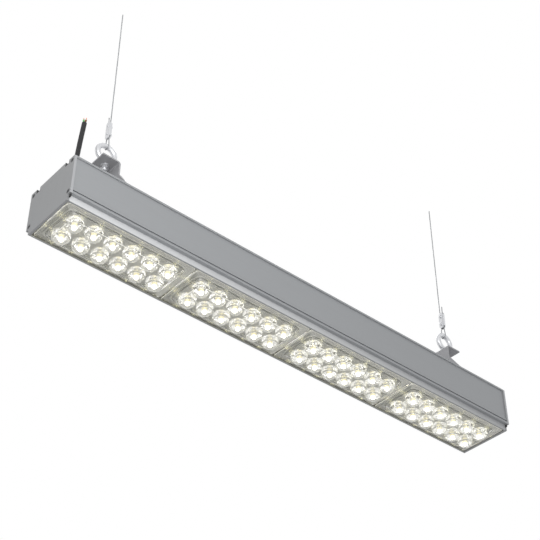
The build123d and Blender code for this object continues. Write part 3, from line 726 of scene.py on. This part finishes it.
def tapered_box(top_size, low_size, top_z, low_z, corner):
    """A box whose lower face has its own size, with its four upright corners rounded."""
    bpy.ops.mesh.primitive_cube_add(size=1.0, location=(0.0, 0.0, (top_z + low_z) / 2))
    box = bpy.context.object
    box.scale = (top_size[0], top_size[1], top_z - low_z)
    apply_place(box)
    bpy.ops.object.mode_set(mode="EDIT")
    select_faces(box, lambda centre, normal: normal.z < -FACING)
    shrink = (low_size[0] / top_size[0], low_size[1] / top_size[1], 1.0)
    bpy.ops.transform.resize(value=shrink, center_override=(0.0, 0.0, low_z))
    select_edges(box, lambda a, b: abs(a.z - b.z) > (top_z - low_z) / 2)
    bpy.ops.mesh.bevel(offset=corner, segments=6, affect="EDGES")
    bpy.ops.object.mode_set(mode="OBJECT")
    return box


def narrower(size, amount):
    return (size[0] - 2 * amount, size[1] - 2 * amount)


def on_outline(place):
    """Whether a place lies in the narrow band along the rim's outer edge."""
    return abs(place.x) > RIM_SIZE[0] / 2 - EDGE_BAND or abs(place.y) > RIM_SIZE[1] / 2 - EDGE_BAND


def at_height(edge, z):
    return all(abs(end.z - z) < HAIR for end in edge)


tray = tapered_box(RIM_SIZE, RIM_SIZE, RIM_TOP_Z, RIM_Z, RIM_CORNER)
skirted = tapered_box(TRAY_ROOT, TRAY_FACE, RIM_Z + OVERLAP, TRAY_Z, TRAY_CORNER)
tray = combine(tray, skirted, "UNION")
hollow_top, hollow_low = (narrower(TRAY_ROOT, amount) for amount in (HOLLOW_IN_TOP, HOLLOW_IN_LOW))
hollow = tapered_box(hollow_top, hollow_low, RIM_TOP_Z + PAST, TRAY_FLOOR_Z, HOLLOW_CORNER)
tray = combine(tray, hollow, "DIFFERENCE")
alone(tray)
bpy.ops.object.mode_set(mode="EDIT")
select_edges(
    tray,
    lambda a, b: at_height((a, b), TRAY_Z) or at_height((a, b), RIM_Z) and on_outline(a) and on_outline(b),
)
bpy.ops.mesh.bevel(offset=EDGE_BEVEL, segments=1, affect="EDGES")
bpy.ops.object.mode_set(mode="OBJECT")

# %% [markdown]
# One optic is a ball cut off at its middle, drawn up as a short drum to just below the board, with a round
# pocket over the LED. It is made once and set out twelve times.

# %% Optics
DOME_R = 0.0104
DOME_MIDDLE_Z = 0.0098
OPTIC_TOP_Z = 0.0148
POCKET_R = 0.0040
POCKET_DEEP = 0.0026
COLUMNS = 6
ROWS = 2
UPRIGHT, LEVEL = 0.2, 0.95  # a slanted face's normal is between these in Z


def hanging_ball(radius, height, middle_z, top_z, segments, rings):
    """The lower half of a ball, drawn up to a flat top. It stays in edit mode with that top selected."""
    bpy.ops.mesh.primitive_uv_sphere_add(segments=segments, ring_count=rings, radius=radius)
    ball = bpy.context.object
    ball.scale.z = height / radius
    ball.location.z = middle_z
    apply_place(ball)
    bpy.ops.object.mode_set(mode="EDIT")
    bpy.ops.mesh.select_all(action="SELECT")
    middle = (0.0, 0.0, middle_z)
    bpy.ops.mesh.bisect(plane_co=middle, plane_no=(0.0, 0.0, 1.0), clear_outer=True, use_fill=True)
    select_faces(ball, lambda centre, normal: centre.z > middle_z - HAIR)
    bpy.ops.mesh.extrude_region_move(TRANSFORM_OT_translate={"value": (0.0, 0.0, top_z - middle_z)})
    return ball


def optic():
    lens = hanging_ball(DOME_R, DOME_MIDDLE_Z, DOME_MIDDLE_Z, OPTIC_TOP_Z, 36, 24)
    bpy.ops.mesh.inset(thickness=DOME_R - POCKET_R)
    bpy.ops.mesh.extrude_region_move(TRANSFORM_OT_translate={"value": (0.0, 0.0, -POCKET_DEEP)})
    bpy.ops.object.mode_set(mode="OBJECT")
    return lens


def spots():
    """The middle of each optic on a plate."""
    xs = [(i - (COLUMNS - 1) / 2) * OPTIC_PITCH for i in range(COLUMNS)]
    ys = [(j - (ROWS - 1) / 2) * OPTIC_PITCH for j in range(ROWS)]
    return [(x, y, 0.0) for x in xs for y in ys]


first_optic = optic()
optics = join([copied(first_optic, spot) for spot in spots()])
bpy.data.objects.remove(first_optic)
tray = combine(tray, optics, "UNION")
smooth(tray, 25.0)
dress(tray, clear, clear_dome, painted_edge_highlight, rim_side_painted_shade)


def in_optic(face):
    """Whether a face lies on one of the optics, off the tray's flat face."""
    x, y, z = face.center
    on_one = any(math.hypot(x - spot[0], y - spot[1]) < DOME_R + 2 * HAIR for spot in spots())
    return on_one and abs(z - TRAY_Z) >= HAIR


def plate_part(face):
    """Which finish a face has: 0 clear, 1 dome, 2 edge with a painted highlight, 3 painted shade along the long
    edges.
    """
    if in_optic(face):
        return 1
    slanted = UPRIGHT < abs(face.normal.z) < LEVEL
    low = face.center.z < TRAY_Z + EDGE_BEVEL
    at_rim = abs(face.center.z - RIM_Z) < EDGE_BEVEL and on_outline(face.center)
    if slanted and (low or at_rim):
        return 2
    if abs(face.normal.y) > FACING and abs(face.center.y) > RIM_SIZE[1] / 2 - 2 * HAIR:
        return 3
    return 0


for face in tray.data.polygons:
    face.material_index = plate_part(face)
print("lens plate faces", len(tray.data.polygons))

# %% [markdown]
# The plate is copied to its four places. The pitch is the plate's length and a narrow gap.

# %% Four plates
PLATES = 4


def plate_x(index):
    return (index - (PLATES - 1) / 2) * PLATE_PITCH


for index in range(PLATES):
    plate = copied(tray, (plate_x(index), 0.0, 0.0))
    own(plate, f"clear_plate_{index + 1}", "clear_plastic", f"lens_plate_{index + 1}")
bpy.data.objects.remove(tray)

# %% [markdown]
# Each LED is a small ceramic square, a cube with softened edges. The glowing capsule below it reaches down into
# the lens dome. It stands for the LED as the dome magnifies it. The two are joined, made once, and set out under
# each board.

# %% LEDs
BOARD_Z = 0.0152
CHIP = 0.0040
CHIP_T = 0.0010
CHIP_BEVEL = 0.0001
BULB_R = 0.0022
BULB_MIDDLE_Z = 0.0058


def led():
    bpy.ops.mesh.primitive_cube_add(size=1.0, location=(0.0, 0.0, BOARD_Z - CHIP_T / 2))
    base = bpy.context.object
    base.scale = (CHIP, CHIP, CHIP_T)
    apply_place(base)
    bpy.ops.object.mode_set(mode="EDIT")
    select_edges(base, lambda a, b: min(a.z, b.z) < BOARD_Z - CHIP_T / 2)
    bpy.ops.mesh.bevel(offset=CHIP_BEVEL, segments=2, affect="EDGES")
    bpy.ops.object.mode_set(mode="OBJECT")
    dress(base, led_base)
    bulb = hanging_ball(BULB_R, BULB_R, BULB_MIDDLE_Z, BOARD_Z - CHIP_T, 24, 16)
    bpy.ops.object.mode_set(mode="OBJECT")
    dress(bulb, led_dome)
    return join([base, bulb])


first_led = led()
for index in range(PLATES):
    row = join([copied(first_led, (plate_x(index) + x, y, z)) for x, y, z in spots()])
    smooth(row, 35.0)
    own(row, f"leds_{index + 1}", "led", f"led_chips_{index + 1}")
bpy.data.objects.remove(first_led)

# %% [markdown]
# A forged ring bolt has a round ring that runs into its neck. A torus gives the ring, and one profile spun about
# the bolt's axis gives the neck, its collar and the stud with its rolled thread. A Boolean step joins the two.

# %% Ring bolts
EYE_X = -0.28955
FLANGE_Z = 0.1326
RING_Z = 0.1491
RING_R = 0.0119
RING_WIRE_R = 0.0034
COLLAR_R = 0.0080
COLLAR = ((0.0006, 0.0), (0.0, 0.0006), (0.0, 0.0022), (0.0008, 0.0030))
NECK_R = 0.0045
NECK_FOOT = ((-0.0006, 0.0034),)
NECK_TOP = ((0.0, -0.0006), (0.0012, 0.0012))
STUD_R = 0.0030
STUD_L = 0.0110
STUD_TIP_IN = 0.0005
THREAD_PITCH = 0.0010
THREAD = ((0.0003, 0.0001), (0.0, 0.0005), (0.0003, 0.0009))

bpy.ops.mesh.primitive_torus_add(
    major_radius=RING_R,
    minor_radius=RING_WIRE_R,
    major_segments=64,
    minor_segments=20,
    location=(EYE_X, 0.0, RING_Z),
    rotation=(math.pi / 2, 0.0, 0.0),
)
ring = bpy.context.object
apply_place(ring)
profile = [(STUD_R - STUD_TIP_IN, FLANGE_Z - STUD_L)]
for number in range(int(STUD_L / THREAD_PITCH)):
    profile += stepped(STUD_R, FLANGE_Z - STUD_L + number * THREAD_PITCH, THREAD)
profile += stepped(COLLAR_R, FLANGE_Z, COLLAR) + stepped(NECK_R, FLANGE_Z, NECK_FOOT)
profile += stepped(NECK_R, RING_Z - RING_R, NECK_TOP)
shank = turned_piece(profile, EYE_X)
bolt = combine(shank, ring, "UNION")
smooth(bolt, 40.0)
dress(bolt, zinc)
other_bolt = copied(bolt, half_turn=True)
own(bolt, "ring_bolt_left", "zinc", "eye_bolt_left")
own(other_bolt, "ring_bolt_right", "zinc", "eye_bolt_right")

# %% [markdown]
# The nut under each flange is a bright hexagon on a round washer. Real nuts have their corners turned off, so a
# six-sided cylinder is cut by a spun shape that is a little slimmer at both ends, and then bored.

# %% Nuts and washers
SHEET_T = 0.0020
NUT_T = 0.0050
NUT_FLATS = 0.0086
WASHER_R = 0.0050
WASHER_T = 0.0008
WASHER_BEVEL = 0.0002
NUT_CHAMFER = 0.0007

seat = FLANGE_Z - SHEET_T
corner = NUT_FLATS / math.sqrt(3.0)
nut_low, nut_high = seat - NUT_T, seat - WASHER_T
bpy.ops.mesh.primitive_cylinder_add(
    vertices=6, radius=corner, depth=nut_high - nut_low, location=(EYE_X, 0.0, (nut_low + nut_high) / 2)
)
nut = bpy.context.object
apply_place(nut)
slim = NUT_FLATS / 2 - HAIR
outline = [
    (slim, nut_low - HAIR),
    (corner + HAIR, nut_low + NUT_CHAMFER),
    (corner + HAIR, nut_high - NUT_CHAMFER / 2),
    (slim + 2 * HAIR, nut_high + HAIR),
]
nut = combine(nut, turned_piece(outline, EYE_X), "INTERSECT")
washer = stepped(WASHER_R, seat - WASHER_T, ((WASHER_BEVEL, 0.0), (0.0, WASHER_BEVEL), (0.0, WASHER_T)))
nut = combine(nut, turned_piece(washer, EYE_X, 40), "UNION")
bore = turned_piece([(STUD_R + HAIR, nut_low - PAST), (STUD_R + HAIR, seat + PAST)], EYE_X)
nut = combine(nut, bore, "DIFFERENCE")
smooth(nut, 25.0)
dress(nut, zinc)
other_nut = copied(nut, half_turn=True)
own(nut, "flange_nut_left", "zinc", "eye_nut_left")
own(other_nut, "flange_nut_right", "zinc", "eye_nut_right")

# %% [markdown]
# Each rope clip is closed by two small screws with pan heads and a driver's slot. One screw is spun standing up,
# slotted by a thin box, laid along X and set out twice.

# %% Clip screws
CLIP_SCREW_R = 0.00125
CLIP_HEAD_R = 0.0026
CLIP_HEAD_T = 0.0022
SCREW_TIP = ((0.0003, 0.0), (0.0, 0.0003))
PAN_HEAD = ((0.0, 0.0), (0.0, 0.0009), (0.0003, 0.0016), (0.0009, 0.0020), (0.0017, CLIP_HEAD_T))
CLIP_SCREW_ZS = (0.18135, 0.19435)
DRIVER_SLOT = (0.0006, 0.0044, 0.0016)

screws_low, screws_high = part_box("clip_screws_left")
shank_l = screws_high[0] - screws_low[0] - CLIP_HEAD_T
profile = stepped(CLIP_SCREW_R, 0.0, SCREW_TIP) + [(CLIP_SCREW_R, shank_l)]
profile += stepped(CLIP_HEAD_R, shank_l, PAN_HEAD)
screw = turned_piece(profile, 0.0, 24)
bpy.ops.mesh.primitive_cube_add(size=1.0, location=(0.0, 0.0, shank_l + CLIP_HEAD_T))
blade = bpy.context.object
blade.scale = DRIVER_SLOT
apply_place(blade)
screw = combine(screw, blade, "DIFFERENCE")
smooth(screw, 30.0)
dress(screw, zinc)
lying = Matrix.Rotation(math.pi / 2, 4, "Y")
screw.data.transform(Matrix.Translation((screws_low[0], 0.0, 0.0)) @ lying)
left_screws = join([copied(screw, (0.0, 0.0, z)) for z in CLIP_SCREW_ZS])
right_screws = copied(left_screws, half_turn=True)
bpy.data.objects.remove(screw)
own(left_screws, "pan_screws_left", "zinc", "clip_screws_left")
own(right_screws, "pan_screws_right", "zinc", "clip_screws_right")

# %% [markdown]
# Each wire rope is laid from six strands round a core. Its route repeats the CAD's points: from the free tail
# above the clip, down round the ring, and up to where the photograph ends. One NURBS spline smooths the route,
# and the strands wind round the points that this spline gives.

# %% Wire ropes
ROPE_R = 0.00075
ROPE_TOP = 0.3986
TAIL_TOP = 0.2114
HALF_GAP = 0.0023
PINCH = 0.0020
SETS_OFF = 0.2070
CLIP_Z = 0.1736
STRANDS = 6
STRAND_R = 0.00027
STRAND_OFF = ROPE_R - STRAND_R
LAY_LENGTH = 0.0095
ROPE_STEP = 0.0008


def spline_curve(name, points, steps):
    """A curve of one NURBS spline that starts and ends at its outer control points."""
    curve = bpy.data.curves.new(name, "CURVE")
    curve.dimensions = "3D"
    curve.resolution_u = steps
    spline = curve.splines.new("NURBS")
    spline.points.add(len(points) - 1)
    for point, place in zip(spline.points, points):
        point.co = (*place, 1.0)
    spline.order_u = 3
    spline.use_endpoint_u = True
    holder = bpy.data.objects.new(name, curve)
    scene.collection.objects.link(holder)
    return holder


def route_points(points):
    """The line of a spline with these control points, read back as a mesh's vertices."""
    holder = spline_curve("route", points, 24)
    mesh = bpy.data.meshes.new_from_object(holder)
    line = [vertex.co.copy() for vertex in mesh.vertices]
    bpy.data.objects.remove(holder)
    return line


def resample(line, step):
    """The same line with its points an even step apart."""
    lengths = [0.0]
    for a, b in zip(line, line[1:]):
        lengths.append(lengths[-1] + (b - a).length)
    count = max(2, round(lengths[-1] / step))
    out, k = [], 0
    for i in range(count + 1):
        want = lengths[-1] * i / count
        while k < len(line) - 2 and lengths[k + 1] < want:
            k += 1
        share = (want - lengths[k]) / max(lengths[k + 1] - lengths[k], 1e-9)
        out.append(line[k].lerp(line[k + 1], share))
    return out, lengths[-1]


def frames(line):
    """Each point of a line with two directions square to the line there, carried along it without a twist."""
    side, out = Vector((1.0, 0.0, 0.0)), []
    for i, point in enumerate(line):
        ahead = (line[min(i + 1, len(line) - 1)] - line[max(i - 1, 0)]).normalized()
        side = (side - ahead * side.dot(ahead)).normalized()
        out.append((point, side, ahead.cross(side)))
    return out


def wound(line, radius, start, lay):
    """A line that winds round another one, once in each lay length, from a start angle."""
    out, along = [], 0.0
    for i, (point, side, up) in enumerate(frames(line)):
        if i:
            along += (point - line[i - 1]).length
        angle = start + 2 * math.pi * along / lay
        out.append(point + radius * (math.cos(angle) * side + math.sin(angle) * up))
    return out


def tube(shape, line, radius, sides):
    """A closed tube round a line."""
    turns = [2 * math.pi * j / sides for j in range(sides)]
    rings = [
        [shape.verts.new(point + radius * (math.cos(turn) * side + math.sin(turn) * up)) for turn in turns]
        for point, side, up in frames(line)
    ]
    for low, high in zip(rings, rings[1:]):
        for j in range(sides):
            shape.faces.new((low[j - 1], low[j], high[j], high[j - 1]))
    shape.faces.new(list(reversed(rings[0])))
    shape.faces.new(rings[-1])


def from_bmesh(shape, name):
    mesh = bpy.data.meshes.new(name)
    bmesh.ops.recalc_face_normals(shape, faces=shape.faces)
    shape.to_mesh(mesh)
    shape.free()
    piece = bpy.data.objects.new(name, mesh)
    scene.collection.objects.link(piece)
    return piece


def laid(name, line, core_r, strand_r, sides, off, lay):
    """A core with six strands laid round it."""
    shape = bmesh.new()
    tube(shape, line, core_r, 6)
    for number in range(STRANDS):
        tube(shape, wound(line, off, 2 * math.pi * number / STRANDS, lay), strand_r, sides)
    return from_bmesh(shape, name)


LOOP_LOW = 0.15707
LOOP_HALF = 0.00468
left_route = [
    (EYE_X, HALF_GAP, TAIL_TOP),
    (EYE_X, PINCH, CLIP_Z),
    (EYE_X, LOOP_HALF, LOOP_LOW),
    (EYE_X, -LOOP_HALF, LOOP_LOW),
    (EYE_X, -PINCH, CLIP_Z),
    (EYE_X, -HALF_GAP, SETS_OFF),
    (EYE_X, -HALF_GAP, ROPE_TOP),
]
right_route = [(-x, -y, z) for x, y, z in left_route]
for end, route in (("left", left_route), ("right", right_route)):
    line, length = resample(route_points(route), ROPE_STEP)
    rope = laid("rope", line, STRAND_OFF, STRAND_R, 5, STRAND_OFF, LAY_LENGTH)
    dress(rope, rope_steel)
    smooth(rope, 60.0)
    own(rope, f"wire_rope_{end}", "rope_steel", f"rope_{end}")
    print(rope.name, "length", round(length, 4), "faces", len(rope.data.polygons))

# %% [markdown]
# The supply cable stands up out of its gland as a short stiff stub. Its sheath is one round curve on the CAD's
# route. At its top the sheath is stripped, and three thin cores fan out and end in bare copper strands.

# %% Supply cable
GLAND_X = -0.32855
TOP_Z = 0.0758
CABLE_R = 0.00295
CABLE_BEND_X = (0.0, 0.0, 0.0020, 0.0050)
CABLE_BEND_Z = (-0.0060, 0.0224, 0.0636, 0.1022)

cable_route = [(GLAND_X + x, 0.0, TOP_Z + z) for x, z in zip(CABLE_BEND_X, CABLE_BEND_Z)]
cable = spline_curve("supply_cable_sheath", cable_route, 16)
cable.data.bevel_depth = CABLE_R
cable.data.bevel_resolution = 6
cable.data.use_fill_caps = True
cable.data.materials.append(sheath.material)
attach(cable, "root")
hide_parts("supply_cable")

# %% [markdown]
# A core is a sleeve of soft insulation, cut square with a small bevel, round seven fine copper strands. The
# sleeve is spun standing up at the origin and the strands wind round each other beyond it. Each core is then
# leaned outwards and moved to the end of the sheath.

# %% Cores and strands
CORE_R = 0.00112
CORE_OFF = 0.00120
CORE_L = 0.0048
CORE_SPLAY = math.radians(5.0)
CORE_TURN = math.radians(-41.0)
CORE_BEVEL = 0.0002
CORES = (
    ("earth", "core_green", earth_core, 210.0, 0.0),
    ("live", "core_brown", brown_core, 330.0, -0.35),
    ("neutral", "core_blue", blue_core, 90.0, 0.6),
)
STRIPPED_L = 0.0036
FINE_R = 0.00019
FINE_OFF = 0.00036
FINE_LAY = 0.012
FINE_STEPS = 8
FINE_TUCKED_IN = 0.0006
FLARE_REACH = 4 * FINE_OFF

cable_end, cable_before = Vector(cable_route[-1]), Vector(cable_route[-2])
cable_way = (cable_end - cable_before).normalized()
cable_side = Vector((math.cos(CORE_TURN), math.sin(CORE_TURN), 0.0))
cable_side = (cable_side - cable_way * cable_side.dot(cable_way)).normalized()


def core_frame(angle):
    """The place and direction of one core, as a matrix."""
    turn = math.radians(angle)
    out = math.cos(turn) * cable_side + math.sin(turn) * cable_way.cross(cable_side)
    way = math.cos(CORE_SPLAY) * cable_way + math.sin(CORE_SPLAY) * out
    return Matrix.Translation(cable_end + CORE_OFF * out) @ way.to_track_quat("Z", "Y").to_matrix().to_4x4()


def fine_strands(flare):
    """Seven strands that stand out of a sleeve and lean a little to one side at their tips."""
    line = []
    for i in range(FINE_STEPS + 1):
        share = i / FINE_STEPS
        line.append(Vector((flare * FLARE_REACH * share**2, 0.0, CORE_L - FINE_TUCKED_IN + STRIPPED_L * share)))
    return laid("strands", line, FINE_R, FINE_R, 6, FINE_OFF, FINE_LAY)


sleeve_profile = [
    (CORE_R, -CORE_BEVEL),
    (CORE_R, CORE_L - CORE_BEVEL),
    (CORE_R - CORE_BEVEL, CORE_L),
    (FINE_OFF + FINE_R, CORE_L),
    (FINE_OFF, CORE_L - CORE_BEVEL),
]
sleeve = turned_piece(sleeve_profile, 0.0, 24)
smooth(sleeve, 40.0)
cable_pieces, bare = [], []
for name, slot, finish, angle, flare in CORES:
    place = core_frame(angle)
    core = copied(sleeve)
    core.data.transform(place)
    dress(core, finish)
    cable_pieces.append(own(core, f"stripped_core_{name}", slot, f"core_{name}"))
    tips = fine_strands(flare)
    tips.data.transform(place)
    bare.append(tips)
bpy.data.objects.remove(sleeve)
strands = join(bare)
smooth(strands, 60.0)
dress(strands, copper)
cable_pieces.append(own(strands, "copper_strands", "copper", "bare_wires"))

# %% [markdown]
# The gland's cap is a moulded nut with ribs for the fingers and a rounded shoulder. Its body is spun from a
# profile, every second pair of faces round its foot is drawn out into a rib, and a second spun shape bores it for
# the seal and the cable.

# %% Gland cap
GLAND_CAP_R = 0.0092
GLAND_R = 0.0079
CAP_LOW_Z = TOP_Z + 0.0050
CAP_TOP_Z = CAP_LOW_Z + 0.0170
RIB_OUT = 0.0006
RIB_LOW_Z = CAP_LOW_Z + 0.0008
RIB_TOP_Z = CAP_LOW_Z + 0.0115
RIB_EVERY = 4  # steps of the grip, of which a rib takes two
GRIP_STEPS = 64
GRIP_R = GLAND_CAP_R - RIB_OUT
SHOULDER = ((0.0, 0.0), (0.0006, 0.0014), (0.0018, 0.0030), (0.0032, 0.0044))
MOUTH = ((-0.0014, -0.0004), (-0.0010, 0.0))
SEAL_TOP_Z = CAP_LOW_Z + 0.0085
CABLE_FIT = 0.0003

profile = [(GRIP_R, CAP_LOW_Z), (GRIP_R, RIB_LOW_Z)]
profile += stepped(GRIP_R, RIB_TOP_Z, SHOULDER) + stepped(CABLE_R, CAP_TOP_Z, MOUTH)
cap = turned_piece(profile, GLAND_X, GRIP_STEPS)


def on_rib(centre, normal):
    turn = math.atan2(centre.y, centre.x - GLAND_X) % (2 * math.pi)
    band = int(turn / (2 * math.pi) * GRIP_STEPS)
    return band % RIB_EVERY < 2 and RIB_LOW_Z < centre.z < RIB_TOP_Z and abs(normal.z) < UPRIGHT


bpy.ops.object.mode_set(mode="EDIT")
select_faces(cap, on_rib)
bpy.ops.mesh.extrude_region_shrink_fatten(TRANSFORM_OT_shrink_fatten={"value": RIB_OUT})
bpy.ops.object.mode_set(mode="OBJECT")
bore_profile = [
    (GLAND_R, CAP_LOW_Z - PAST),
    (GLAND_R, SEAL_TOP_Z),
    (CABLE_R + CABLE_FIT, SEAL_TOP_Z),
    (CABLE_R + CABLE_FIT, CAP_TOP_Z + PAST),
]
bore = turned_piece(bore_profile, GLAND_X)
cap = combine(cap, bore, "DIFFERENCE")
smooth(cap, 25.0)
dress(cap, polyamide)
own(cap, "ribbed_gland_cap", "gland_plastic", "gland_cap")
